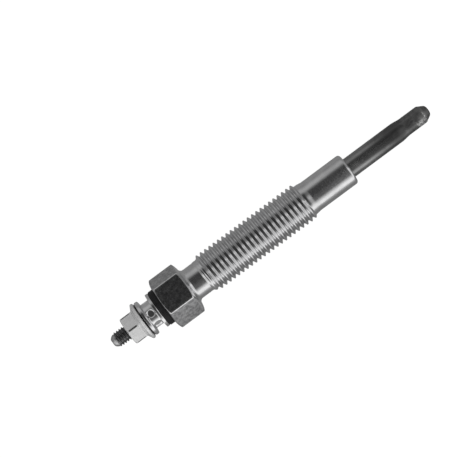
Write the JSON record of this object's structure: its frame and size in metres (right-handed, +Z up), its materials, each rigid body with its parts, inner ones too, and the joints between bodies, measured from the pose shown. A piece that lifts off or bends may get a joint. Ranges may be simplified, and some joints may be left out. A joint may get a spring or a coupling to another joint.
{
  "type": "diesel glow plug",
  "caption": "Sheathed-element glow plug: threaded terminal with flange nut, crimped collar and insulator, hexagon body with long thread and smooth nose, slim heater tube.",
  "frame": {"origin": "on the floor under the middle of the plug, as it lies on a hexagon flat's front edge and its thread", "axes": "+X along the plug from the terminal to the heater tip, dipping 1.69 degrees; +Z up, square to a hexagon flat; +Y across"},
  "size_m": [0.0922, 0.0138, 0.0122],
  "materials": {
    "rod_steel": "dark rolled steel",
    "nut_steel": "satin zinc plate",
    "collar_steel": "bright zinc plate",
    "black_plastic": "matt black moulded plastic",
    "seal_rubber": "matt black rubber",
    "plated_steel": "bright turned and plated steel",
    "oxidised_alloy": "dark oxidised nickel alloy",
    "magnesia": "packed white powder",
    "coil_wire": "drawn resistance wire"
  },
  "bodies": {
    "root": {"terminal_rod": "rod_steel", "flange_nut": "nut_steel", "crimp_collar": "collar_steel", "insulating_bush": "black_plastic", "o_ring": "seal_rubber", "housing": "plated_steel", "heater_sheath": "oxidised_alloy", "sheath_seal": "seal_rubber", "magnesia_fill": "magnesia", "control_coil": "coil_wire", "heating_coil": "coil_wire"}
  },
  "joints": []
}
